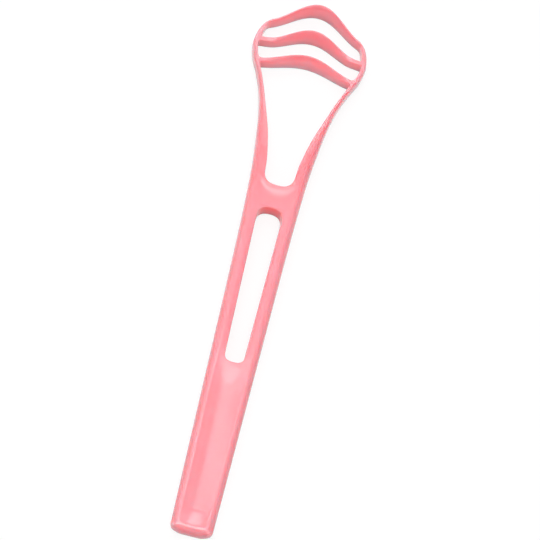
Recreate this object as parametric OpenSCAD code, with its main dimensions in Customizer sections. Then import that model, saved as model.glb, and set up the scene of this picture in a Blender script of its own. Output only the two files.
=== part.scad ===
// One-piece tongue scraper, lying on its back: a dished grip, a slotted shank, a fork and
// an oval head with three arched blades. Millimetres. +Y runs from the grip to the head,
// +X to the right and +Z out of the dished face, with the flat underside at z = 0.
// Distances along the length are taken from the grip's end, and the finished pieces are
// moved so that the origin is under the middle of the whole length.

/* [Overall] */
// Length from the grip's end to the tip of the upper blade
total_length = 153; // [135:1:170]
// Thickness of the grip at its free end
grip_thickness = 3.6; // [2.8:0.1:5]
// Thickness where the slot ends and the fork begins
bridge_thickness = 5.4; // [4.4:0.1:7]

/* [Grip] */
// Width of the grip at its free end
grip_end_width = 11; // [9:0.1:14]
// Width of the shank where the fork begins
shank_width = 15.3; // [14:0.1:18]
// How much of that width is the flare just below the fork
shank_flare = 0.7; // [0:0.1:2]
// Length of the flare below the fork
shank_flare_length = 25; // [10:1:35]
// How far the rounded end of the grip reaches before it is full width
grip_end_round = 2.2; // [1:0.1:4]
// Width of the sloping flank between the side and the crest of the dish
flank_width = 1.8; // [1.2:0.1:2.4]
// Depth of the dish below its crest
dish_depth = 0.9; // [0.3:0.05:1.4]
// Length over which the dish comes up to its crest at the grip's end
dish_end_run = 7.5; // [3:0.1:14]
// Length over which the dish rises to the rails at the slot
dish_slot_run = 7; // [3:0.1:12]
// Length over which the dish fades out above the slot
dish_fork_run = 5; // [2:0.1:8]

/* [Slot] */
// Distance from the grip's end to the slot
slot_start = 46.4; // [38:0.1:52]
// Length of the slot
slot_length = 44.1; // [30:0.1:46]
// Width of the slot at the grip's side
slot_low_width = 5.2; // [4.6:0.1:6]
// Width of the slot at the fork's side
slot_high_width = 6.9; // [4.6:0.1:7.5]
// Depth of the slot's rounded end at the grip's side
slot_low_round = 1.4; // [0.6:0.1:2.6]
// Depth of the slot's rounded end at the fork's side
slot_high_round = 2; // [0.6:0.1:3]

/* [Fork] */
// Length of the solid bridge between the slot and the fork's opening
bridge_length = 6.7; // [4:0.1:12]
// Width of the fork's opening at its rounded bottom
crotch_width = 8; // [6:0.1:9]
// Depth of the rounded bottom of the fork's opening
crotch_round = 2.4; // [1:0.1:4]

/* [Head] */
// Width of the head at its widest
head_width = 31.8; // [28:0.1:40]
// Distance from the head's widest point to the tip of the upper blade
head_top = 14.8; // [12:0.1:18]
// Width of the rim at the head's widest point
rim_width = 1.15; // [1:0.05:2.2]
// Thickness of the rim
rim_thickness = 4.1; // [3:0.1:6]
// How far the rim reaches below the lower blade before it turns into the arm
rim_below_blade = 1.5; // [0.8:0.1:3]

/* [Blades] */
// Height of a blade where it meets the rim
blade_end_height = 4; // [2.6:0.1:5.4]
// Height of a blade at the middle of its arch
blade_crown_height = 5.2; // [4:0.1:7]
// Depth of a blade at its foot, at the middle of its arch
blade_crown_depth = 2; // [1.4:0.1:3]
// Depth of a blade at its foot, where it meets the rim
blade_end_depth = 1.2; // [0.8:0.1:1.8]
// Rise of the upper blade's arch
upper_rise = 8; // [5:0.1:10]
// Rise of the middle blade's arch
middle_rise = 5; // [2:0.1:6]
// Rise of the lower blade's arch
lower_rise = 3.65; // [2:0.1:5]
// Distance between the tips of the upper and the middle blade
upper_pitch = 8.3; // [6.5:0.1:10]
// Distance between the tips of the middle and the lower blade
lower_pitch = 7.9; // [6:0.1:9]

/* [Hidden] */

face_pink = [0.98, 0.62, 0.65];
rail_pink = [0.98, 0.6, 0.64];
rim_pink = [0.93, 0.57, 0.61];
blade_pink = [0.91, 0.49, 0.5];

// Places along the length
slot_end = slot_start + slot_length;
slot_low_straight = slot_start + slot_low_round;
slot_high_straight = slot_end - slot_high_round;
crotch_y = slot_end + bridge_length;
fork_y = crotch_y + crotch_round;
widest_y = total_length - head_top;
middle_tip = total_length - upper_pitch;
lower_tip = middle_tip - lower_pitch;
rim_low_y = lower_tip - lower_rise - blade_end_depth - rim_below_blade;
head_half = head_width / 2;
shank_half = shank_width / 2;

// Cutters reach this far past what they cut
overrun = 2;

// Half spans of the three arches, as shares of half the head's width
upper_span_share = 0.956;
middle_span_share = 0.84;
lower_span_share = 0.935;
// Depth of the upper blade's foot where it joins the rim, as a share of the others'
upper_end_share = 0.83;
// Where the upper blade gives way to the rim
joint_share = 0.78;

// Flank of the grip, from the underside up to the crest: how far in from the side, as a
// share of the flank's width, and how high, as a share of the thickness
flank_shares = [
    [0.34, 0], [0.1, 0.08], [0, 0.3], [0.1, 0.52], [0.34, 0.76], [0.68, 0.93], [1, 1]
];
// Dish, from the crest in to the middle: how far in, and how deep
dish_shares = [[0.1, 0.19], [0.25, 0.44], [0.45, 0.7], [0.7, 0.91], [1, 1]];
// How much of the dish's depth is left along the rails
rail_dish_share = 0.4;
// Outline of the grip's free end: the power of its superellipse, and the share of its
// depth that the flat tip cuts off
end_power = 2.6;
end_tip_share = 0.05;
end_step_shares = [0, 0.06, 0.14, 0.27, 0.45, 0.7, 1];
// Rise of the underside at the free end: how far in, as a share of the flank's width, and
// how high, as a share of the thickness; and the height at which the side is widest
end_foot_shares = [[0, 0.22], [0.1, 0.08], [0.34, 0]];
side_height_share = 0.3;

// Arm, from the fork to the rim, and rim, from there to the head's widest point: place
// along the way, how far the outer side has spread from the shank's half width to the
// head's, and how much of the arm's extra width over the rim is left
arm_shares = [
    [0, 0, 1], [0.15, 0.042, 0.99], [0.263, 0.083, 0.86], [0.4, 0.142, 0.71],
    [0.527, 0.2, 0.44], [0.627, 0.26, 0.24], [0.728, 0.34, 0.1], [0.828, 0.437, 0.02],
    [0.916, 0.555, 0], [1, 0.686, 0.02]
];
rim_shares = [[0.409, 0.869, 0.09], [0.729, 0.96, 0.1], [1, 1, 0.125]];
// Share of the arm over which the flank turns into a plain bar
root_reach_share = 0.75;
// Shoulder, from the upper blade's end to the widest point, outer and inner side: how far
// out and how far down
shoulder_outer_shares = [[0, 0], [0.386, 0.15], [0.7, 0.384], [0.9, 0.66], [1, 1]];
shoulder_inner_shares = [[0, 0], [0.36, 0.1], [0.58, 0.3], [0.76, 0.58], [1, 1]];

// Cross-section of an arm or rim, and of a blade at the middle of its arch: how far across
// from the outer side, and how high
bar_shares = [
    [0.14, 0], [0.04, 0.06], [0, 0.3], [0, 0.6], [0.06, 0.82], [0.2, 0.96], [0.4, 1],
    [0.72, 1], [0.92, 0.95], [1, 0.8], [1, 0.12], [0.88, 0]
];
blade_shares = [
    [0.08, 0], [0, 0.06], [0, 0.3], [0, 0.6], [0, 0.88], [0.06, 0.98], [0.16, 1],
    [0.3, 1], [0.42, 0.93], [0.76, 0.5], [1, 0.1], [0.92, 0]
];
// Inner side of an arm where it leaves the bridge; its outer side is the shank's flank
root_inner_shares = [[0.75, 1], [0.96, 1], [1, 0.94], [1, 0.08], [0.96, 0]];

// Stations between two rows of a list of shares, along half a blade, along the dish's end,
// the grip, a rail and the bridge; points on a rounded end of the slot, and from a rail's
// crest to the slot
steps_along = 3;
blade_steps = 16;
dish_end_steps = 4;
grip_steps = 9;
rail_steps = 12;
bridge_steps = 14;
cut_steps = 12;
rail_floor_steps = 4;

function mix(a, b, share) = a + (b - a) * share;
function ease(share) = let (t = min(1, max(0, share))) t * t * (3 - 2 * t);
function arch(share) = (1 - cos(180 * min(1, abs(share)))) / 2;

// Point of a smooth curve through the rows of a list, a share of the way from row i
function row(list, i) = list[max(0, min(len(list) - 1, i))];
function curve_point(list, i, t) =
    let (a = row(list, i - 1), b = row(list, i), c = row(list, i + 1), d = row(list, i + 2))
    (2 * b + (c - a) * t + (2 * a - 5 * b + 4 * c - d) * t * t + (3 * b - a - 3 * c + d) * t * t * t) / 2;
function curve(list, first, last) = [
    for (i = [first:last - 1], k = [0:steps_along - 1]) curve_point(list, i, k / steps_along),
    row(list, last)
];

// Thickness and half width of the grip and shank at a distance from the grip's end
function thickness_at(y) = mix(grip_thickness, bridge_thickness, min(1, y / slot_end));
function flare_at(y) = shank_flare / 2 * pow(max(0, 1 - (fork_y - y) / shank_flare_length), 2);
function half_width_at(y) =
    mix(grip_end_width / 2, shank_half - shank_flare / 2, y / fork_y) + flare_at(y);

// The free end: share of the half width, of the height and of the dish's depth there
function end_share(y) =
    let (tip = end_tip_share * grip_end_round, left = 1 - (y + tip) / (grip_end_round + tip))
    pow(1 - pow(max(0, left), end_power), 1 / end_power);
end_flank_shares = [for (f = flank_shares) if (f[1] >= side_height_share) f];
function end_height_share(y) = lookup(y / flank_width, end_flank_shares);
function foot_share(y) = lookup(y / flank_width, end_foot_shares);
function dish_at(y) = let (
    low = min(1, max(0, (y - flank_width) / dish_end_run)),
    rail = mix(rail_dish_share, 1, ease((slot_start - y) / dish_slot_run)),
    high = ease((crotch_y - flank_width - y) / dish_fork_run)
) dish_depth * low * rail * high;

// Closed cross-section of the shank at y, from the underside's right corner round by the top
function flank_points(half, flank, foot, top) =
    [for (f = flank_shares) [half - f[0] * flank, mix(foot, top, f[1])]];
function shank_section(y) =
    let (
        half = half_width_at(y) * end_share(y),
        flank = min(flank_width, half / 2),
        foot = thickness_at(y) * foot_share(y),
        top = thickness_at(y) * end_height_share(y),
        right = concat(
            flank_points(half, flank, foot, top),
            [for (d = dish_shares) [(half - flank) * (1 - d[0]), top - dish_at(y) * d[1]]]
        )
    )
    concat(
        [for (p = right) [p[0], y, p[1]]],
        [for (i = [len(right) - 2:-1:0]) [-right[i][0], y, right[i][1]]]
    );

// Closed cross-section of the right rail at y, which the slot cuts off inside
function slot_half_at(y) = mix(
    slot_low_width, slot_high_width, (y - slot_low_straight) / (slot_high_straight - slot_low_straight)
) / 2;
function rail_section(y) =
    let (
        half = half_width_at(y),
        floor_half = half - flank_width,
        top = thickness_at(y),
        profile = concat([[0, 0]], dish_shares),
        edge = (floor_half - slot_half_at(y)) / floor_half
    )
    concat(
        [for (p = flank_points(half, flank_width, 0, top)) [p[0], y, p[1]]],
        [
            for (k = [1:rail_floor_steps])
                let (d = edge * k / rail_floor_steps)
                [floor_half * (1 - d), y, top - dish_at(y) * lookup(d, profile)]
        ],
        [[slot_half_at(y), y, 0]]
    );

// Closed cross-section of a bar between two plan points; form 0 is a rim's, 1 a blade's
function bar_points(shares, outer, inner, height) =
    [for (s = shares) let (p = mix(outer, inner, s[0])) [p[0], p[1], height * s[1]]];
function bar_section(outer, inner, height, form) =
    bar_points(mix(bar_shares, blade_shares, form), outer, inner, height);

// Solid skin over a list of closed sections that all have the same number of points
module skin(sections) {
    n = len(sections[0]);
    last = len(sections) - 1;
    polyhedron(
        points = [for (s = sections, p = s) p],
        faces = concat(
            [[for (i = [0:n - 1]) i]],
            [[for (i = [n - 1:-1:0]) last * n + i]],
            [
                for (k = [0:last - 1], i = [0:n - 1])
                    let (a = k * n + i, b = k * n + (i + 1) % n)
                    each [[a, a + n, b + n], [a, b + n, b]]
            ]
        )
    );
}

function steps_between(low, high, count) = [for (k = [0:count]) mix(low, high, k / count)];

// Outlines of the slot and of the fork's opening, with elliptical ends
function half_ellipse(y, half, depth, turn) = [
    for (k = [0:cut_steps]) let (a = turn + 180 * k / cut_steps) [half * cos(a), y + depth * sin(a)]
];
module slot_outline() {
    polygon(concat(
        half_ellipse(slot_high_straight, slot_high_width / 2, slot_high_round, 0),
        half_ellipse(slot_low_straight, slot_low_width / 2, slot_low_round, 180)
    ));
}
module through_cut(height) {
    translate([0, 0, -overrun]) linear_extrude(height + 2 * overrun) children();
}

// Right arm and rim below the widest point, in rows of the outer side's place across, the
// place along and the width across
root_width = shank_half - crotch_width / 2;
function flare_rows(shares, low, high) = [
    for (s = shares)
        [mix(shank_half, head_half, s[1]), mix(low, high, s[0]), mix(rim_width, root_width, s[2])]
];
flare = concat(flare_rows(arm_shares, fork_y, rim_low_y), flare_rows(rim_shares, rim_low_y, widest_y));
rim_row = len(arm_shares) - 1;
function outer_point(f) = [f[0], f[1]];
function inner_point(f) = [f[0] - f[2], f[1]];
function flare_height(f) =
    mix(bridge_thickness, rim_thickness, ease((f[1] - fork_y) / (widest_y - fork_y)));

// Plan edges of a blade at x: the far side faces the tip, the foot faces the grip
function far_y(x, tip, rise, span) = tip - rise * arch(x / span);
function foot_y(x, tip, rise, span, end_depth) =
    far_y(x, tip, rise, span) - mix(blade_crown_depth, end_depth, arch(x / span));

// Blade whose far side and foot end at the two given places on the right, and their mirror
// images on the left
module blade(tip, rise, span, end_depth, far_end, foot_end) {
    skin([
        for (k = [-blade_steps:blade_steps])
            let (
                share = k / blade_steps,
                last = abs(k) == blade_steps,
                far_x = far_end[0] * share,
                foot_x = foot_end[0] * share,
                low = arch(far_x / span)
            )
            bar_section(
                [far_x, last ? far_end[1] : far_y(far_x, tip, rise, span)],
                [foot_x, last ? foot_end[1] : foot_y(foot_x, tip, rise, span, end_depth)],
                mix(blade_crown_height, blade_end_height, low), 1 - low
            )
    ]);
}

upper_span = head_half * upper_span_share;
upper_end_depth = blade_end_depth * upper_end_share;
joint_x = head_half * joint_share;
joint_low = arch(joint_x / upper_span);

// Shoulder of the rim, from the upper blade's end down to the widest point
function shoulder_side(start, end, shares) = [
    for (s = curve(shares, 0, len(shares) - 1))
        [mix(start[0], end[0], s[0]), mix(start[1], end[1], s[1])]
];
joint_far = [joint_x, far_y(joint_x, total_length, upper_rise, upper_span)];
joint_foot = [joint_x, foot_y(joint_x, total_length, upper_rise, upper_span, upper_end_depth)];
widest_inner = inner_point(flare[len(flare) - 1]);
shoulder_outer = shoulder_side(joint_far, [head_half, widest_y], shoulder_outer_shares);
shoulder_inner = shoulder_side(joint_foot, widest_inner, shoulder_inner_shares);
joint_height = mix(blade_crown_height, blade_end_height, joint_low);
function shoulder_height(k) = mix(joint_height, rim_thickness, ease(k / (len(shoulder_outer) - 1)));
function shoulder_form(k) = (1 - joint_low) * (1 - ease(k / (len(shoulder_outer) - 1)));

dish_end_y = grip_end_round + flank_width + dish_end_run;
grip_stations = concat(
    [for (s = end_step_shares) s * grip_end_round],
    [for (k = [1:dish_end_steps]) mix(grip_end_round, dish_end_y, k / dish_end_steps)],
    [for (k = [1:grip_steps]) mix(dish_end_y, slot_low_straight, k / grip_steps)]
);

module grip() {
    color(face_pink) difference() {
        skin([for (y = grip_stations) shank_section(y)]);
        through_cut(bridge_thickness) slot_outline();
    }
}

module rail() {
    color(rail_pink) skin([
        for (y = steps_between(slot_low_straight, slot_high_straight, rail_steps)) rail_section(y)
    ]);
}

module bridge() {
    color(face_pink) difference() {
        skin([for (y = steps_between(slot_high_straight, fork_y, bridge_steps)) shank_section(y)]);
        through_cut(bridge_thickness) slot_outline();
        through_cut(bridge_thickness) polygon(half_ellipse(fork_y, crotch_width / 2, crotch_round, 180));
    }
}

// An arm starts with the shank's flank on its outer side, and turns into the rim's bar
function root_shares(width) =
    concat([for (f = flank_shares) [f[0] * flank_width / width, f[1]]], root_inner_shares);
module arm() {
    color(rail_pink) skin([
        for (f = curve(flare, 0, rim_row))
            let (
                along = (f[1] - fork_y) / (rim_low_y - fork_y),
                shares = mix(root_shares(f[2]), bar_shares, ease(along / root_reach_share))
            )
            bar_points(shares, outer_point(f), inner_point(f), flare_height(f))
    ]);
}

module head_rim() {
    color(rim_pink) skin(concat(
        [
            for (f = curve(flare, rim_row, len(flare) - 1))
                bar_section(outer_point(f), inner_point(f), flare_height(f), 0)
        ],
        [
            for (k = [len(shoulder_outer) - 2:-1:0])
                bar_section(shoulder_outer[k], shoulder_inner[k], shoulder_height(k), shoulder_form(k))
        ]
    ));
}

module upper_blade() {
    color(blade_pink)
        blade(total_length, upper_rise, upper_span, upper_end_depth, joint_far, joint_foot);
}

// The inner side of the right rim, from low to high, as places across by places along, and
// the point where an edge of a blade meets it
rim_inner_side = concat(
    [for (f = curve(flare, rim_row, len(flare) - 1)) inner_point(f)],
    [for (k = [len(shoulder_inner) - 2:-1:0]) shoulder_inner[k]]
);
rim_inner_x = [for (p = rim_inner_side) [p[1], p[0]]];
function on_rim(y) = [lookup(y, rim_inner_x), y];

module inner_blade(tip, rise, span) {
    depth = blade_end_depth;
    inside = widest_inner[0];
    far_end = on_rim(far_y(on_rim(far_y(inside, tip, rise, span))[0], tip, rise, span));
    foot_end = on_rim(foot_y(on_rim(foot_y(inside, tip, rise, span, depth))[0], tip, rise, span, depth));
    color(blade_pink) blade(tip, rise, span, depth, far_end, foot_end);
}

module middle_blade() {
    inner_blade(middle_tip, middle_rise, head_half * middle_span_share);
}

module lower_blade() {
    inner_blade(lower_tip, lower_rise, head_half * lower_span_share);
}

// Moves a piece so that the origin is under the middle of the whole length
module centred() {
    translate([0, -total_length / 2, 0]) children();
}
module centred_left() {
    centred() mirror([1, 0, 0]) children();
}

centred() grip();
centred_left() rail();  // left_rail
centred() rail();  // right_rail
centred() bridge();
centred_left() arm();  // left_arm
centred() arm();  // right_arm
centred_left() head_rim();  // left_head_rim
centred() head_rim();  // right_head_rim
centred() upper_blade();
centred() middle_blade();
centred() lower_blade();
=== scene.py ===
"""Looks of a tongue scraper moulded in one piece from glossy pink plastic.

The scraper lies on its flat underside with its dished face up. The half on the right of
its middle line is drawn first, as a sheet, then mirrored, thickened, softened and smoothed.
"""
import math
from collections import namedtuple

import bmesh
import bpy
import numpy as np
from mathutils import Matrix, Vector


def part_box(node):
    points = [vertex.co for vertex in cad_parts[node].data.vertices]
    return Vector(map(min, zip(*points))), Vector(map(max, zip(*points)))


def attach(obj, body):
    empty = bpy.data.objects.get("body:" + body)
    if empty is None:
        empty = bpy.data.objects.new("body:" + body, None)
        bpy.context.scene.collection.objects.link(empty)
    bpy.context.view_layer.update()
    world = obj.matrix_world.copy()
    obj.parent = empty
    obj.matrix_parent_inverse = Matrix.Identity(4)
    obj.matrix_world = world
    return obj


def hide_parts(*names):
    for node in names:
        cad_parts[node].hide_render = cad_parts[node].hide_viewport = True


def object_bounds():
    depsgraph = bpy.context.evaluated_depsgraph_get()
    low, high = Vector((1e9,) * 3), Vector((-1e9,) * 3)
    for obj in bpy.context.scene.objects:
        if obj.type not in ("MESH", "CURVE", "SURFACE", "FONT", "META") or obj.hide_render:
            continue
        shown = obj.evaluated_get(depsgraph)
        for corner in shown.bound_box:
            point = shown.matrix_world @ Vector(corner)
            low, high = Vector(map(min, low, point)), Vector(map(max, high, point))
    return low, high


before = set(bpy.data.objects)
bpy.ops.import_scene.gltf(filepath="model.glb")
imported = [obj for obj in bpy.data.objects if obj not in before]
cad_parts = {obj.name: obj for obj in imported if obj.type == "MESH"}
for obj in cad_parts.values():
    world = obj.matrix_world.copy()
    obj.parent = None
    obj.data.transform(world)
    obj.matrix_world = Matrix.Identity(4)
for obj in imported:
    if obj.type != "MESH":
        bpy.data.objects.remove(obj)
cad_low, cad_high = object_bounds()

MM = 0.001
Row = namedtuple("Row", "outer inner height form")
HandleRow = namedtuple("HandleRow", "y bend forked sunk rounded bowl")
Blade = namedtuple("Blade", "tip rise span crown_depth end_depth")

# Sizes that the solids give
grip_end = cad_low.y
shank_half, fork_y, bridge_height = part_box("bridge")[1]
slot_low_half, slot_low_y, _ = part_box("right_rail")[0]
slot_high_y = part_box("right_rail")[1].y
rim_low_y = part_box("right_head_rim")[0].y
head_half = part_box("right_head_rim")[1].x
upper_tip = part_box("upper_blade")[1].y
middle_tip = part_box("middle_blade")[1].y
lower_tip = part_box("lower_blade")[1].y
crown_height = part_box("upper_blade")[1].z

# Sizes of the handle's details
grip_height = 3.6 * MM
grip_half = 5.5 * MM
flare = 0.35 * MM
flare_length = 25 * MM
flank_width = 1.8 * MM
dish_depth = 0.9 * MM
rail_round = 0.42 * MM
lip_width = 0.5 * MM
slot_high_half = 3.45 * MM
slot_low_round = 1.4 * MM
slot_high_round = 2 * MM
crotch_half = 4 * MM
crotch_round = 2.4 * MM
crotch_drop = 0.25 * MM
slot_taper = 0.09 * MM

# Sizes of the head's details
rim_width = 1.15 * MM
rim_height = 4.1 * MM
head_top = 14.8 * MM
blade_end_height = 4 * MM
joint_x = 0.78 * head_half
corner_fillet = 0.3 * MM
fillet_inside = 0.2 * MM
fillet_reach = 0.5 * MM

# Softened edges: how tight the dish's crest is, how near the slot that fades, and how wide
# the sharp edges are rounded
crest_crease = 0.15
low_crease_fade = 12 * MM
high_crease_fade = 5 * MM
sharp_angle = math.radians(58)
edge_soft = 0.2 * MM
foot_soft = 0.18 * MM
smooth_levels = 2

# Places closer than a touch are the same, and a hair is less than any gap between rows
touch = 0.01 * MM
hair = 0.1 * MM
least_rise = 0.001 * MM
# What stands higher than this is well above the underside
well_up = 1 * MM

slot_end = slot_high_y + slot_high_round
widest_y = upper_tip - head_top

# Arm and rim: place along, how far the outer side has spread, and the extra width left
ARM_SHARES = [
    (0, 0, 1), (0.15, 0.042, 0.99), (0.263, 0.083, 0.86), (0.4, 0.142, 0.71), (0.527, 0.2, 0.44),
    (0.627, 0.26, 0.24), (0.728, 0.34, 0.1), (0.828, 0.437, 0.02), (0.916, 0.555, 0),
    (1, 0.686, 0.02),
]
RIM_SHARES = [(0.409, 0.869, 0.09), (0.729, 0.96, 0.1), (1, 1, 0.125)]
# Shoulder, from the widest point up: how far out and how far down
SHOULDER_OUTER_SHARES = [(1, 1), (0.9, 0.66), (0.7, 0.384), (0.386, 0.15), (0, 0)]
SHOULDER_INNER_SHARES = [(1, 1), (0.76, 0.58), (0.58, 0.3), (0.36, 0.1), (0, 0)]
SIDE_STEPS = 120
SHOULDER_STEPS = 60
# Places of the rows drawn along the arm, between the two lower blades, and above them
ARM_ROW_SHARES = (0.07, 0.16, 0.27, 0.38, 0.49, 0.6, 0.7, 0.8, 0.9, 1)
GAP_ROW_SHARES = (0.33, 0.67)
TOP_ROW_SHARES = (0.3, 0.6, 0.85)
BLADE_PLACES = [x * MM for x in (11, 9.2, 7.4, 5.6, 3.8, 1.9, 0)]

# Rows across the grip: mm from its end, how much they bend round the slot's end, and how
# deep the dish is. The first rows round the free end, and the last of those is its crest.
CREST_FROM_END = 2.2
GRIP_ROWS = [
    (0, 0, 0), (0.4, 0, 0), (0.85, 0, 0), (1.3, 0, 0), (1.75, 0, 0), (CREST_FROM_END, 0, 0),
    (2.7, 0, 0.12), (3.3, 0, 0.28), (4.2, 0, 0.5), (5.2, 0, 0.74), (6.1, 0, 0.93), (6.7, 0, 0.99),
    (8, 0, 1), (15, 0, 1), (22, 0, 1), (29, 0, 1), (36, 0, 1), (39.5, 0.1, 0.98),
    (41.2, 0.2, 0.87), (43.4, 0.45, 0.62), (45.4, 0.75, 0.41),
]
END_FORM_SHARES = (0.55, 0.84, 0.935, 0.975, 0.995, 1)
# The dish is wider near the free end: by how much, how many mm from it, and over how many
END_BOWL_SHARE = 0.7
END_BOWL_STOP = 10
END_BOWL_RUN = 5
# Rails: place along, bend round the slot's low end, dish, and rounding towards the slot
RAIL_ROWS = [
    (0, 1, 0.2, 0), (0.05, 0, 0.2, 0.4), (0.2, 0, 0.12, 1), (0.5, 0, 0.1, 1), (0.8, 0, 0.12, 1),
    (0.94, 0, 0.36, 0.5),
]
# Bridge: place along, bends up round the slot and down round the crotch, dish
BRIDGE_ROWS = [
    (0, 1.1, 0, 0.53), (0.126, 0.85, 0, 0.62), (0.3, 0.3, 0.05, 0.6), (0.45, 0, 0.3, 0.56),
    (0.6, 0, 0.6, 0.51), (0.7, 0, 0.82, 0.45), (0.752, 0, 0.9, 0.38), (0.8, 0, 0.95, 0.28),
    (0.845, 0, 0.99, 0.14), (0.883, 0, 1, 0.05), (0.919, 0, 1, 0), (1, 0, 1, 0),
]
# Share of a bend that each line takes
BEND_SHARES = {"middle": 1, "inset": 0.88, "edge": 0.25}

# Lines that run along the moulding, from the middle out, and how deep the dish is on each
HANDLE_LINES = ("middle", "inset", "edge", "floor", "lip", "crest", "shoulder", "side")
DISH_SHARES = {"middle": 1, "inset": 0.87, "edge": 0.63, "floor": 0.41, "lip": 0.21}
BOWL_SHARES = {"middle": 1, "inset": 0.96, "edge": 0.86, "floor": 0.6, "lip": 0.28}
ROUND_SHARES = {"edge": 1, "floor": 0.3, "lip": 0.05}
# Where lines lie between their neighbours: the inset at the grip and at the fork
GRIP_INSET_SHARE = 0.66
FORK_INSET_SHARE = 0.64
FLOOR_SHARE = 0.6
SHOULDER_SHARE = 0.62
# Rounded corners of the free end: mm that each line is drawn in and up at the first rows
END_PULLS = {
    "side": [(-0.55, 0.88), (-0.3, 0.75), (-0.165, 0.57), (-0.08, 0.3), (-0.03, 0.1)],
    "shoulder": [(-0.42, 0.53), (-0.12, 0.4), (-0.04, 0.28), (0, 0.15), (0, 0.06)],
    "crest": [(0, 0.26), (0, 0.22), (0, 0.17), (-0.05, 0.13), (-0.15, 0.15), (-0.3, 0.3)],
    "lip": [(0, 0.13), (0, 0.1), (0, 0.08), (0, 0.06), (0, 0.05), (0, 0.04)],
}
# Heights of those lines as shares of the height there: arm's root, rim and blades
ROOT_FORM = {"side": 0.55, "shoulder": 0.93, "crest": 1, "lip": 1, "floor": 1, "edge": 1}
RIM_FORM = {"side": 0.8, "shoulder": 0.97, "crest": 1, "lip": 1, "floor": 1, "edge": 1}
UPPER_FORM = {"side": 0.95, "shoulder": 1, "crest": 0.86, "lip": 0.7, "floor": 0.45, "edge": 0.12}
STUB_FORM = {"far": 1, "land": 1, "slope": 1, "foot": 1}
BLADE_FORM = {"far": 1, "land": 0.95, "slope": 0.56, "foot": 0.12}
# How far along the arm the root's form has become the rim's
ROOT_FADE_SHARE = 0.75

# Colours of the plastic: flow marks' lightest and deepest, painted shade of bridge, arms and low
# walls
SALMON = (0.975, 0.297, 0.338)
SALMON_DEEP = (0.97, 0.287, 0.328)
SHADED = (0.96, 0.235, 0.27)
PAINTED_WALL_SHADE = (0.975, 0.08, 0.1)
# Shine, and the smears of it
coat_roughness = 0.17
smear_spread = 0.03
# Size of the marks in the plastic, where in the noise they start and end, and depth of those
# that can be felt
flow_grain = 9 * MM
flow_draw_share = 0.2
FLOW_SPAN_SHARES = (0.35, 0.65)
smear_grain = 6 * MM
SMEAR_SPAN_SHARES = (0.3, 0.7)
skin_grain = 0.5 * MM
skin_depth = 0.002 * MM
sink_grain = 7 * MM
sink_depth = 0.05 * MM
# How far red light and the other two colours travel in the plastic
light_reach = 8 * MM
LIGHT_REACH_SHARES = (1, 0.07, 0.055)

# Painted shade, a deeper red on the handle's low walls: how strong it is outside the slot, where
# it starts on the flanks, at the free end, in the slot and below the top, and how far up the arms
# it goes
FLANK_SHADE_SHARE = 0.5
flank_shade_inset = 1.5 * MM
flank_shade_blur = 0.3 * MM
tip_shade = (1.6 * MM, 2.1 * MM)
slot_side_shade = (0.1 * MM, 0.3 * MM)
slot_low_shade = (-1.8 * MM, -1.5 * MM)
slot_high_shade = (0.3 * MM, 0.6 * MM)
shade_below_top = (0.3 * MM, 1.2 * MM)
wall_shade_up_arms = 8 * MM
# Where the shade of the bridge and the arms has come and starts to go
shade_above_fork = 6 * MM
shade_fade = 3 * MM

# Paper under the scraper, and how much of it shows as plain white
PAPER_LIGHT = (0.62, 0.62, 0.62)
PAPER_DARK = (0.6, 0.6, 0.6)
paper_grain = 3 * MM
paper_roughness = 0.8
paper_side = 6
paper_white = 1.05
WHITE_SHARE = 0.82

# Sky at the horizon and overhead
sky_low = 0.08
sky_high = 0.65
# Lamps: name, degrees left of and behind upright, degrees wide and deep, and radiance
LAMPS = [
    ("window", 14, 13.5, 52, 3, 6.5),
    ("far_box", 14, 35.5, 40, 9, 6),
    ("near_box", 2, -2, 44, 18, 6.2),
    ("key", 12, 60, 60, 30, 1.5),
    ("left_fill", 66, 0, 40, 60, 0.3),
    ("front_fill", -8, -62, 60, 30, 1),
]
lamp_distance = 1.5

# The view of the photograph: way back to the camera, roll, distance, middle and pixel size
VIEW_BACK = Vector((-0.0203, -0.368, 0.9296)).normalized()
VIEW_ROLL = math.radians(13.84)
VIEW_DISTANCE = 588.8 * MM
VIEW_TARGET = Vector((3.538, -2.2, 2.5)) * MM
VIEW_SCALE = 0.2628 * MM
PICTURE_SIDE = 540
SENSOR_WIDTH = 36


def mix(a, b, share):
    return a + (b - a) * share


def ease(share):
    t = min(1, max(0, share))
    return t * t * (3 - 2 * t)


def arch(share):
    return (1 - math.cos(math.pi * min(1, abs(share)))) / 2


def near(a, b):
    return abs(a - b) < touch


def between(y, low, high):
    return low - touch < y < high + touch


def smooth_run(rows, t):
    """Point of a smooth curve through the rows of a list, t rows from its start."""
    i = min(int(t), len(rows) - 2)
    a, b, c, d = (np.array(rows[max(0, min(len(rows) - 1, k))]) for k in range(i - 1, i + 3))
    t -= i
    return (
        2 * b + (c - a) * t + (2 * a - 5 * b + 4 * c - d) * t**2 + (3 * b - a - 3 * c + d) * t**3
    ) / 2


# Selecting and moving in edit mode
def selected(piece):
    return [v for v in bmesh.from_edit_mesh(piece.data).verts if v.select]


def choose(piece, test):
    """Selects the vertices that pass the test, with the edges and faces between them."""
    bpy.ops.mesh.select_mode(type="VERT")
    bpy.ops.mesh.select_all(action="DESELECT")
    mesh = bmesh.from_edit_mesh(piece.data)
    for v in mesh.verts:
        v.select = test(v)
    mesh.select_flush(True)
    bmesh.update_edit_mesh(piece.data)


def choose_edges(piece, test):
    bpy.ops.mesh.select_mode(type="EDGE")
    bpy.ops.mesh.select_all(action="DESELECT")
    mesh = bmesh.from_edit_mesh(piece.data)
    for e in mesh.edges:
        e.select = test(e)
    bmesh.update_edit_mesh(piece.data)


def on_line(piece, line):
    """Test for the vertices of a named line."""
    weights = bmesh.from_edit_mesh(piece.data).verts.layers.deform.verify()
    index = piece.vertex_groups[line].index
    return lambda v: index in v[weights]


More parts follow.
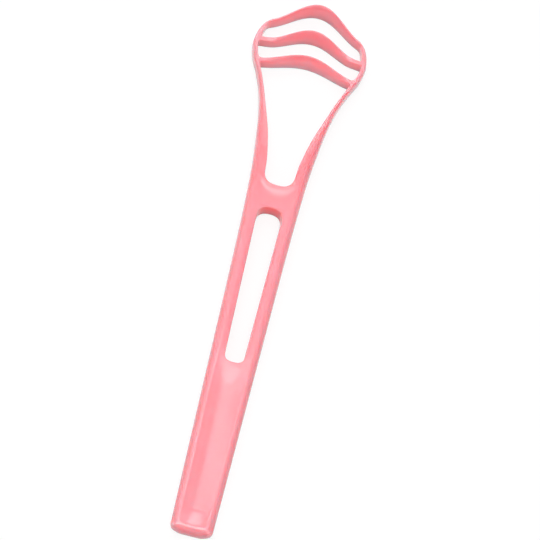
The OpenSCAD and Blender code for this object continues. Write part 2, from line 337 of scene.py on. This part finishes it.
def crossing(piece, line, y):
    """Test for the vertex where a named line crosses a row."""
    is_on = on_line(piece, line)
    return lambda v: is_on(v) and near(v.co.y, y)


def mark(piece, line):
    """Puts what is selected on a named line, which extrusions then carry on."""
    group = piece.vertex_groups.get(line) or piece.vertex_groups.new(name=line)
    piece.vertex_groups.active_index = group.index
    bpy.ops.object.vertex_group_assign()


def shift(x, y, z=0):
    bpy.ops.transform.translate(value=(x, y, z))


def extrude(x, y, z=0):
    bpy.ops.mesh.extrude_region_move(TRANSFORM_OT_translate={"value": (x, y, z)})


def stretch(by, about=(0, 0, 0)):
    bpy.ops.transform.resize(value=by, center_override=about)


def turn(angle, about):
    """Turns about the upright. With no window the operator turns the other way."""
    bpy.ops.transform.rotate(value=-angle, orient_axis="Z", center_override=about)


def slide(piece, line, x=0, y=0, z=0):
    """Of the selected row, moves the vertices on a named line, and keeps the row selected."""
    row = {v.index for v in selected(piece)}
    is_on = on_line(piece, line)
    choose(piece, lambda v: v.index in row and is_on(v))
    shift(x, y, z)
    choose(piece, lambda v: v.index in row)


def pull(piece, line, row_y, x=0, y=0, z=0):
    """Moves the one place where a line crosses a row."""
    choose(piece, crossing(piece, line, row_y))
    shift(x, y, z)


# The handle's right half
def half_width(y):
    share = (y - grip_end) / (fork_y - grip_end)
    spread_out = max(0, 1 - (fork_y - y) / flare_length)
    return mix(grip_half, shank_half - flare, share) + flare * spread_out**2


def height_at(y):
    return mix(grip_height, bridge_height, min(1, (y - grip_end) / (slot_end - grip_end)))


def slot_half(y):
    return mix(slot_low_half, slot_high_half, (y - slot_low_y) / (slot_high_y - slot_low_y))


def handle_rows():
    rows = []
    for y, low, sunk in GRIP_ROWS:
        bowl = max(low, END_BOWL_SHARE * ease((END_BOWL_STOP - y) / END_BOWL_RUN))
        rows.append(HandleRow(grip_end + y * MM, -low * slot_low_round, 0, sunk, 0, bowl))
    for share, low, sunk, rounded in RAIL_ROWS:
        y = mix(slot_low_y, slot_high_y, share)
        rows.append(HandleRow(y, -low * slot_low_round, 0, sunk, rounded, low))
    for share, up, down, sunk in BRIDGE_ROWS:
        bend = up * slot_high_round - down * crotch_round
        rows.append(HandleRow(mix(slot_high_y, fork_y, share), bend, down, sunk, 0, down))
    return rows


def end_form(y):
    """How high the rounded free end has risen, as a share of the grip's height."""
    places = [row[0] for row in GRIP_ROWS[:len(END_FORM_SHARES)]]
    return np.interp((y - grip_end) / MM, places, END_FORM_SHARES)


def handle_point(line, row):
    """Where a line of the handle crosses a row: how far out, and how high."""
    y = row.y
    crest = half_width(y) - flank_width
    edge = mix(slot_half(y), crotch_half, row.forked)
    out = {
        "middle": 0,
        "inset": edge * mix(GRIP_INSET_SHARE, FORK_INSET_SHARE, row.forked),
        "edge": edge,
        "floor": mix(edge, crest - lip_width, FLOOR_SHARE),
        "lip": crest - lip_width,
        "crest": crest,
        "shoulder": crest + flank_width * SHOULDER_SHARE,
        "side": crest + flank_width,
    }[line]
    form = min(end_form(y), ROOT_FORM.get(line, 1))
    dip = dish_depth * row.sunk * mix(DISH_SHARES.get(line, 0), BOWL_SHARES.get(line, 0), row.bowl)
    return out, height_at(y) * form - dip - rail_round * row.rounded * ROUND_SHARES.get(line, 0)


def draw_first_row(piece, row):
    """Cuts the blank down to one edge at the grip's end, and divides it at the lines."""
    choose(piece, lambda v: v.co.y > 0)
    bpy.ops.mesh.delete(type="VERT")
    bpy.ops.mesh.select_all(action="SELECT")
    bpy.ops.mesh.subdivide(number_cuts=len(HANDLE_LINES) - 2)
    order = sorted(bmesh.from_edit_mesh(piece.data).verts, key=lambda v: v.co.x)
    places = {line: v.index for line, v in zip(HANDLE_LINES, order)}
    starts = {line: v.co.copy() for line, v in zip(HANDLE_LINES, order)}
    for line, index in places.items():
        choose(piece, lambda v: v.index == index)
        mark(piece, line)
        out, up = handle_point(line, row)
        shift(out - starts[line].x, grip_end - starts[line].y, up - starts[line].z)
    bpy.ops.mesh.select_all(action="SELECT")


def draw_handle(piece):
    """Carries the first row on to the fork, and opens the slot."""
    rows = handle_rows()
    draw_first_row(piece, rows[0])
    for before, row in zip(rows, rows[1:]):
        extrude(0, row.y - before.y)
        for line in HANDLE_LINES:
            (out, up), (last_out, last_up) = handle_point(line, row), handle_point(line, before)
            slide(piece, line, out - last_out, 0, up - last_up)
    slot_rows = [row.y for row in rows if slot_low_y + hair < row.y < slot_high_y - hair]
    for row_y, line in ((y, m) for y in slot_rows for m in ("middle", "inset")):
        choose(piece, crossing(piece, line, row_y))
        bpy.ops.mesh.delete(type="VERT")
    crease_crest(piece, rows)


def inside_crest(place):
    return abs(place.x) < half_width(place.y) - flank_width + hair


def crease_crest(piece, rows):
    """Tightens the crest of the dish: round its two ends, and along its sides near them."""
    low_crest, high_crest = grip_end + CREST_FROM_END * MM, rows[-2].y
    for y in (low_crest, high_crest):
        choose_edges(piece, lambda e: all(near(v.co.y, y) and inside_crest(v.co) for v in e.verts))
        bpy.ops.transform.edge_crease(value=crest_crease)
    on_crest = on_line(piece, "crest")
    for low, high in zip(rows, rows[1:]):
        middle = (low.y + high.y) / 2
        if not low_crest < middle < high_crest:
            continue
        fade = ease((slot_low_y - middle) / low_crease_fade)
        fade += ease((middle - slot_end) / high_crease_fade)
        choose_edges(
            piece, lambda e: all(on_crest(v) and between(v.co.y, low.y, high.y) for v in e.verts)
        )
        bpy.ops.transform.edge_crease(value=crest_crease * fade)


def round_ends(piece):
    """Rounds the free end's corner and the ends of slot and crotch, and lowers the crotch."""
    for line, pulls in END_PULLS.items():
        for (across, along), row in reversed(list(zip(pulls, GRIP_ROWS))):
            pull(piece, line, grip_end + row[0] * MM, across * MM, along * MM)
    for line in BEND_SHARES:
        pull(piece, line, fork_y, z=-crotch_drop)
    for row in handle_rows():
        for line in BEND_SHARES:
            pull(piece, line, row.y, 0, row.bend * BEND_SHARES[line])


# The plan of the head
def far_y(x, blade):
    return blade.tip - blade.rise * arch(x / blade.span)


def foot_y(x, blade):
    return far_y(x, blade) - mix(blade.crown_depth, blade.end_depth, arch(x / blade.span))


def side_table():
    """Outer and inner side from the fork to the upper blade, in small steps, low to high."""
    root_width = shank_half - crotch_half
    stretches = ((ARM_SHARES, fork_y, rim_low_y), (RIM_SHARES, rim_low_y, widest_y))
    flare_rows = [
        (mix(shank_half, head_half, out), mix(low, high, up), mix(rim_width, root_width, extra))
        for shares, low, high in stretches
        for up, out, extra in shares
    ]
    table = []
    for t in np.linspace(0, len(flare_rows) - 1, SIDE_STEPS):
        x, y, width = smooth_run(flare_rows, t)
        table.append((x, y, x - width, y))
    rim_inner = head_half - flare_rows[-1][2]
    for t in np.linspace(0, len(SHOULDER_OUTER_SHARES) - 1, SHOULDER_STEPS)[1:]:
        outer = smooth_run(SHOULDER_OUTER_SHARES, t)
        inner = smooth_run(SHOULDER_INNER_SHARES, t)
        table.append((
            mix(joint_x, head_half, outer[0]),
            mix(far_y(joint_x, UPPER), widest_y, outer[1]),
            mix(joint_x, rim_inner, inner[0]),
            mix(foot_y(joint_x, UPPER), widest_y, inner[1]),
        ))
    return np.array(table)


UPPER = Blade(upper_tip, 8 * MM, 0.956 * head_half, 1.96 * MM, 1 * MM)
MIDDLE = Blade(middle_tip, 5 * MM, 0.84 * head_half, 2.05 * MM, 1.2 * MM)
LOWER = Blade(lower_tip, 3.65 * MM, 0.935 * head_half, 2 * MM, 1.2 * MM)
SIDES = side_table()


def side_places(y):
    """Outer and inner plan point of the row that crosses the inner side at y."""
    outer_x, outer_y, inner_x, inner_y = (np.interp(y, SIDES[:, 3], SIDES[:, k]) for k in range(4))
    return Vector((outer_x, outer_y)), Vector((inner_x, inner_y))


def blade_ends(blade):
    """Where a blade's far side and foot meet the rim, which three steps settle."""
    far = foot = widest_y
    for _ in range(3):
        far = far_y(side_places(far)[1].x, blade)
        foot = foot_y(side_places(foot)[1].x, blade)
    return foot, far


def mix_forms(a, b, share):
    return {line: mix(a[line], b[line], share) for line in a}


def stand_out(rows):
    """Moves each row so that the smoothed moulding runs through the place it had."""
    def proud(before, p, after):
        return p - (before - 2 * p + after) / 6

    result = list(rows)
    for i in range(1, len(rows) - 1):
        before, row, after = rows[i - 1:i + 2]
        result[i] = row._replace(
            outer=proud(before.outer, row.outer, after.outer),
            inner=proud(before.inner, row.inner, after.inner),
        )
    last, before = rows[-1], rows[-2]
    if near(last.outer.x, 0):
        drop = Vector((0, (last.outer.y - before.outer.y) / 3))
        result[-1] = last._replace(outer=last.outer + drop, inner=last.inner + drop)
    return result


def carry_on(piece, old, new):
    """Extrudes the selected row to its next place, with its new width, height and form."""
    extrude(*(new.outer - old.outer))
    was, now = old.inner - old.outer, new.inner - new.outer
    about = (*new.outer, 0)
    turn(math.remainder(math.atan2(now.y, now.x) - math.atan2(was.y, was.x), math.tau), about)
    wider = now.length / was.length
    stretch((wider, wider, 1), about)
    stretch((1, 1, new.height / old.height))
    for line in new.form:
        rise = (new.form[line] - old.form[line]) * new.height
        if abs(rise) > least_rise:
            slide(piece, line, z=rise)


def side_height(y):
    return mix(bridge_height, rim_height, ease((y - fork_y) / (widest_y - fork_y)))


def side_row(y):
    outer, inner = side_places(y)
    share = ease((y - fork_y) / (rim_low_y - fork_y) / ROOT_FADE_SHARE)
    return Row(outer, inner, side_height(y), mix_forms(ROOT_FORM, RIM_FORM, share))


def blade_row(x, blade, thin_form, full_form):
    low = arch(x / blade.span)
    return Row(
        Vector((x, far_y(x, blade))),
        Vector((x, foot_y(x, blade))),
        mix(crown_height, blade_end_height, low),
        mix_forms(full_form, thin_form, low),
    )


def joint_rows(foot, far):
    """Rows of the rim that a blade grows from, with room for its fillets."""
    return [foot - corner_fillet, foot + fillet_inside, far - fillet_inside, far + corner_fillet]


def draw_side(piece):
    """Carries the fork's row along the arm, round the rim and over the upper blade."""
    lower, middle = joint_rows(*blade_ends(LOWER)), joint_rows(*blade_ends(MIDDLE))
    top = foot_y(joint_x, UPPER)
    stations = [mix(fork_y, rim_low_y, s) for s in ARM_ROW_SHARES]
    stations += lower + [mix(lower[-1], middle[0], s) for s in GAP_ROW_SHARES]
    stations += middle + [mix(middle[-1], top, s) for s in TOP_ROW_SHARES]
    rows = [side_row(y) for y in (fork_y, *stations)]
    rows += [blade_row(x, UPPER, RIM_FORM, UPPER_FORM) for x in (joint_x, *BLADE_PLACES)]
    rows = stand_out(rows)
    wanted = [on_line(piece, line) for line in RIM_FORM]
    choose(piece, lambda v: near(v.co.y, fork_y) and any(is_on(v) for is_on in wanted))
    for old, new in zip(rows, rows[1:]):
        carry_on(piece, old, new)


def draw_blade(piece, blade):
    """Grows a blade out of the rim's inner edge as far as the middle."""
    rim_rows = joint_rows(*blade_ends(blade))
    low, high = rim_rows[0] - corner_fillet, rim_rows[-1] + corner_fillet
    on_edge = on_line(piece, "edge")
    choose(piece, lambda v: on_edge(v) and low < v.co.y < high)
    found = sorted(selected(piece), key=lambda v: v.co.y)
    indexes = [v.index for v in found]
    ends = [found[-1].co.copy(), found[0].co.copy()]
    for line, index in zip(("foot", "slope", "land", "far"), indexes):
        choose(piece, lambda v: v.index == index)
        mark(piece, line)
    start = Row(ends[0].xy, ends[1].xy, side_height(ends[0].y), STUB_FORM)
    places = [min(ends[0].x, ends[1].x) - fillet_reach, *BLADE_PLACES]
    rows = stand_out([start] + [blade_row(x, blade, STUB_FORM, BLADE_FORM) for x in places])
    choose(piece, lambda v: v.index in indexes)
    for old, new in zip(rows, rows[1:]):
        carry_on(piece, old, new)


# From the half sheet to the whole moulding
def mirror(piece):
    bpy.ops.object.mode_set(mode="OBJECT")
    piece.modifiers.new("other_half", "MIRROR")
    bpy.ops.object.modifier_apply(modifier="other_half")
    bpy.ops.object.mode_set(mode="EDIT")


def thicken(piece):
    """Gives the sheet its walls and its underside: a copy below it is pressed flat."""
    bpy.ops.mesh.select_all(action="SELECT")
    extrude(0, 0, -well_up)
    stretch((1, 1, 0))
    bpy.ops.mesh.select_all(action="SELECT")
    bpy.ops.mesh.normals_make_consistent(inside=False)


def taper_slot(piece):
    """Makes the slot a little smaller at the underside, so that its walls catch the light."""
    half, middle = (slot_low_half + slot_high_half) / 2, (slot_low_y + slot_high_y) / 2
    in_slot = [on_line(piece, line) for line in ("middle", "inset", "edge")]
    reach = (slot_high_y - slot_low_y) / 2 + slot_high_round + hair

    def low(v):
        return near(v.co.z, 0) and abs(v.co.y - middle) < reach

    choose(piece, lambda v: low(v) and any(is_on(v) for is_on in in_slot))
    stretch((1 - slot_taper / half, 1 - slot_taper / reach, 1), (0, middle, 0))


def soften(piece, test, width):
    choose_edges(piece, test)
    bpy.ops.mesh.bevel(offset=width, segments=2, profile=0.5, affect="EDGES")


def soften_edges(piece):
    """Rounds the upper edges of the openings and the lower edges."""

    def upper(e):
        return e.calc_face_angle(0) > sharp_angle and all(v.co.z > well_up for v in e.verts)

    def lower(e):
        return e.calc_face_angle(0) > sharp_angle and all(v.co.z < hair for v in e.verts)

    soften(piece, upper, edge_soft)
    soften(piece, lower, foot_soft)


def smooth(piece):
    bpy.ops.object.mode_set(mode="OBJECT")
    finish = piece.modifiers.new("smooth", "SUBSURF")
    finish.levels = finish.render_levels = smooth_levels
    bpy.ops.object.modifier_apply(modifier="smooth")
    bpy.ops.object.shade_smooth()
    piece.vertex_groups.clear()


def mould_scraper():
    bpy.ops.object.select_all(action="DESELECT")
    bpy.ops.mesh.primitive_plane_add(size=1)
    piece = bpy.context.object
    piece.name = "scraper_moulding"
    bpy.ops.object.mode_set(mode="EDIT")
    draw_handle(piece)
    draw_side(piece)
    draw_blade(piece, LOWER)
    draw_blade(piece, MIDDLE)
    round_ends(piece)
    mirror(piece)
    thicken(piece)
    taper_slot(piece)
    soften_edges(piece)
    smooth(piece)
    return piece


# Parts of the materials, and the places of a Mix node's two colours and of their mixture
MIX_COLOURS = (6, 7)
MIX_RESULT = 2


def add_node(tree, kind, **values):
    """Adds a shader node, with its settings and the values of its inputs."""
    node = tree.nodes.new("ShaderNode" + kind)
    for name, value in values.items():
        if hasattr(node, name):
            setattr(node, name, value)
        else:
            node.inputs[name.replace("_", " ")].default_value = value
    return node


def parts_of_place(tree, space="Object"):
    """The three parts of each point's place."""
    place, parts = add_node(tree, "TexCoord"), add_node(tree, "SeparateXYZ")
    tree.links.new(place.outputs[space], parts.inputs[0])
    return parts.outputs


def make_speckle_group():
    """Group that both materials use: a mask of soft spots, finer with more repeats."""
    group = bpy.data.node_groups.new("speckle", "ShaderNodeTree")
    for name, kind in (("Repeats", "NodeSocketVector"), ("Detail", "NodeSocketFloat")):
        group.interface.new_socket(name, in_out="INPUT", socket_type=kind)
    group.interface.new_socket("Mask", in_out="OUTPUT", socket_type="NodeSocketFloat")
    given, result = group.nodes.new("NodeGroupInput"), group.nodes.new("NodeGroupOutput")
    place, mapping = add_node(group, "TexCoord"), add_node(group, "Mapping")
    noise = add_node(group, "TexNoise", Scale=1, Roughness=0.5)
    group.links.new(place.outputs["Object"], mapping.inputs["Vector"])
    group.links.new(given.outputs["Repeats"], mapping.inputs["Scale"])
    group.links.new(mapping.outputs["Vector"], noise.inputs["Vector"])
    group.links.new(given.outputs["Detail"], noise.inputs["Detail"])
    group.links.new(noise.outputs["Fac"], result.inputs["Mask"])
    return group


def speckle(tree, grain, detail=3, draw=1):
    """Spots about a grain across, drawn out along the moulding if asked."""
    spots = tree.nodes.new("ShaderNodeGroup")
    spots.node_tree = SPECKLE
    spots.inputs["Repeats"].default_value = (1 / grain, draw / grain, 1 / grain)
    spots.inputs["Detail"].default_value = detail
    return spots.outputs["Mask"]


def spread(tree, source, low, high, to_low, to_high):
    """Stretches a mask from low..high to to_low..to_high."""
    reach = add_node(tree, "MapRange", From_Min=low, From_Max=high, To_Min=to_low, To_Max=to_high)
    tree.links.new(source, reach.inputs["Value"])
    return reach.outputs["Result"]


def tint(tree, mask, first, second):
    """Mixes two colours, or a colour already made and another, by a mask."""
    mixer = add_node(tree, "Mix", data_type="RGBA")
    tree.links.new(mask, mixer.inputs["Factor"])
    for place, colour in zip(MIX_COLOURS, (first, second)):
        if isinstance(colour, tuple):
            mixer.inputs[place].default_value = (*colour, 1)
        else:
            tree.links.new(colour, mixer.inputs[place])
    return mixer.outputs[MIX_RESULT]


def combine(tree, operation, *masks):
    """Joins masks one after another: adds, takes away, multiplies or keeps the larger."""
    total = masks[0]
    for mask in masks[1:]:
        step = add_node(tree, "Math", operation=operation)
        tree.links.new(total, step.inputs[0])
        tree.links.new(mask, step.inputs[1])
        total = step.outputs[0]
    return total


def painted_wall_shade(tree):
    """Mask of painted shade, a deeper red on the handle's low walls, most of all inside the slot.
    """
    across, along, up = parts_of_place(tree)
    size = add_node(tree, "Math", operation="ABSOLUTE")
    tree.links.new(across, size.inputs[0])
    across = size.outputs[0]

    starts = grip_half - flank_shade_inset, shank_half - flank_shade_inset
    flank = combine(tree, "SUBTRACT", across, spread(tree, along, grip_end, fork_y, *starts))
    flank = spread(tree, flank, 0, flank_shade_blur, 0, FLANK_SHADE_SHARE)
    tip = spread(tree, along, *(grip_end + reach for reach in tip_shade), FLANK_SHADE_SHARE, 0)
    slot = combine(
        tree,
        "MULTIPLY",
        spread(tree, across, *(slot_high_half + reach for reach in slot_side_shade), 1, 0),
        spread(tree, along, *(slot_low_y + reach for reach in slot_low_shade), 0, 1),
        spread(tree, along, *(slot_end + reach for reach in slot_high_shade), 1, 0),
    )
    walls = combine(tree, "MAXIMUM", flank, tip, slot)
    top = spread(tree, along, grip_end, slot_end, grip_height, bridge_height)
    below = spread(tree, combine(tree, "SUBTRACT", top, up), *shade_below_top, 0, 1)
    handle = spread(tree, along, fork_y, fork_y + wall_shade_up_arms, 1, 0)
    return combine(tree, "MULTIPLY", walls, below, handle)


def painted_shade_bridge_and_arms(tree):
    """Mask of painted shade that makes the pink of the bridge and the arms a little deeper."""
    along = parts_of_place(tree)[1]
    rise = spread(tree, along, slot_high_y, fork_y + shade_above_fork, 0, 1)
    fall = spread(tree, along, rim_low_y - shade_fade, rim_low_y + shade_fade, 1, 0)
    return combine(tree, "MULTIPLY", rise, fall)


def pink_plastic():
    """Glossy moulded plastic, a little translucent, with faint flow marks, smears and sinks, and
    with painted shade on the bridge, the arms and the low walls.
    """
    material = bpy.data.materials.new("pink_plastic")
    material.use_nodes = True
    tree = material.node_tree
    shader = tree.nodes["Principled BSDF"]
    settings = {
        "Specular IOR Level": 0, "Coat Weight": 1, "Coat IOR": 1.49,
        "Coat Roughness": coat_roughness, "Subsurface Weight": 1,
        "Subsurface Radius": LIGHT_REACH_SHARES, "Subsurface Scale": light_reach,
    }
    for name, value in settings.items():
        shader.inputs[name].default_value = value

    flow = spread(tree, speckle(tree, flow_grain, draw=flow_draw_share), *FLOW_SPAN_SHARES, 0, 1)
    surface = tint(tree, flow, SALMON, SALMON_DEEP)
    # Painted shade: a deeper pink on the bridge and the arms
    surface = tint(tree, painted_shade_bridge_and_arms(tree), surface, SHADED)
    # Painted shade: a deeper red on the low walls and inside the slot
    tree.links.new(tint(tree, painted_wall_shade(tree), surface, PAINTED_WALL_SHADE), shader.inputs["Base Color"])

    shine = coat_roughness - smear_spread, coat_roughness + smear_spread
    smears = spread(tree, speckle(tree, smear_grain), *SMEAR_SPAN_SHARES, *shine)
    tree.links.new(smears, shader.inputs["Roughness"])

    skin = spread(tree, speckle(tree, skin_grain, detail=2), 0, 1, 0, skin_depth)
    sink = spread(tree, speckle(tree, sink_grain, detail=1), 0, 1, 0, sink_depth)
    bump = add_node(tree, "Bump", Strength=1, Distance=1)
    tree.links.new(combine(tree, "ADD", skin, sink), bump.inputs["Height"])
    for name in ("Normal", "Coat Normal"):
        tree.links.new(bump.outputs["Normal"], shader.inputs[name])
    return material


def white_paper():
    """Paper that shows nearly white to the camera and keeps a light shadow."""
    material = bpy.data.materials.new("white_paper")
    material.use_nodes = True
    tree = material.node_tree
    paper = tree.nodes["Principled BSDF"]
    paper.inputs["Roughness"].default_value = paper_roughness
    grain = speckle(tree, paper_grain)
    tree.links.new(tint(tree, grain, PAPER_DARK, PAPER_LIGHT), paper.inputs["Base Color"])
    glow = add_node(tree, "Emission", Strength=paper_white)
    path = add_node(tree, "LightPath")
    seen = combine(tree, "ADD", path.outputs["Is Camera Ray"], path.outputs["Is Glossy Ray"])
    share = add_node(tree, "MixShader")
    tree.links.new(spread(tree, seen, 0, 1, 0, WHITE_SHARE), share.inputs[0])
    tree.links.new(paper.outputs[0], share.inputs[1])
    tree.links.new(glow.outputs[0], share.inputs[2])
    tree.links.new(share.outputs[0], tree.nodes["Material Output"].inputs["Surface"])
    return material


# The studio
def softbox(name, left, back, width, depth, radiance):
    """Rectangular light at angles, in degrees, left of and behind upright, as wide and deep."""
    left, back, width, depth = (math.radians(angle) for angle in (left, back, width, depth))
    away = Vector((-math.tan(left), math.tan(back), 1)).normalized()
    data = bpy.data.lights.new(name, "AREA")
    data.shape = "RECTANGLE"
    data.size, data.size_y = (2 * lamp_distance * math.tan(angle / 2) for angle in (width, depth))
    data.energy = radiance * math.pi * data.size * data.size_y
    light = bpy.data.objects.new(name, data)
    bpy.context.scene.collection.objects.link(light)
    side = (Vector((1, 0, 0)) - away * away.x).normalized()
    turned = Matrix((side, away.cross(side), away)).transposed().to_4x4()
    light.matrix_world = Matrix.Translation(away * lamp_distance) @ turned


def add_camera():
    right = Vector((0, 1, 0)).cross(VIEW_BACK).normalized()
    up = VIEW_BACK.cross(right)
    across = right * math.cos(VIEW_ROLL) + up * math.sin(VIEW_ROLL)
    upward = up * math.cos(VIEW_ROLL) - right * math.sin(VIEW_ROLL)
    data = bpy.data.cameras.new("camera")
    data.sensor_width = SENSOR_WIDTH
    data.lens = VIEW_DISTANCE / (PICTURE_SIDE * VIEW_SCALE) * data.sensor_width
    data.clip_start, data.clip_end = 0.01, 10
    camera = bpy.data.objects.new("camera", data)
    bpy.context.scene.collection.objects.link(camera)
    turned = Matrix((across, upward, VIEW_BACK)).transposed().to_4x4()
    camera.matrix_world = Matrix.Translation(VIEW_TARGET + VIEW_BACK * VIEW_DISTANCE) @ turned
    bpy.context.scene.camera = camera


def add_floor():
    bpy.ops.object.select_all(action="DESELECT")
    bpy.ops.mesh.primitive_plane_add(size=paper_side, location=(0, 0, 0))
    floor = bpy.context.object
    floor.name = "floor"
    floor.data.materials.append(white_paper())


def light_studio():
    world = bpy.data.worlds.new("studio")
    bpy.context.scene.world = world
    world.use_nodes = True
    tree = world.node_tree
    sky = spread(tree, parts_of_place(tree, "Generated")[2], 0, 1, sky_low, sky_high)
    tree.links.new(sky, tree.nodes["Background"].inputs["Strength"])
    tree.nodes["Background"].inputs["Color"].default_value = (1, 1, 1, 1)
    for lamp in LAMPS:
        softbox(*lamp)


SPECKLE = make_speckle_group()
scraper = mould_scraper()
scraper.data.materials.append(pink_plastic())
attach(scraper, "root")
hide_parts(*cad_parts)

add_camera()
add_floor()
light_studio()
bpy.context.scene.view_settings.view_transform = "Standard"
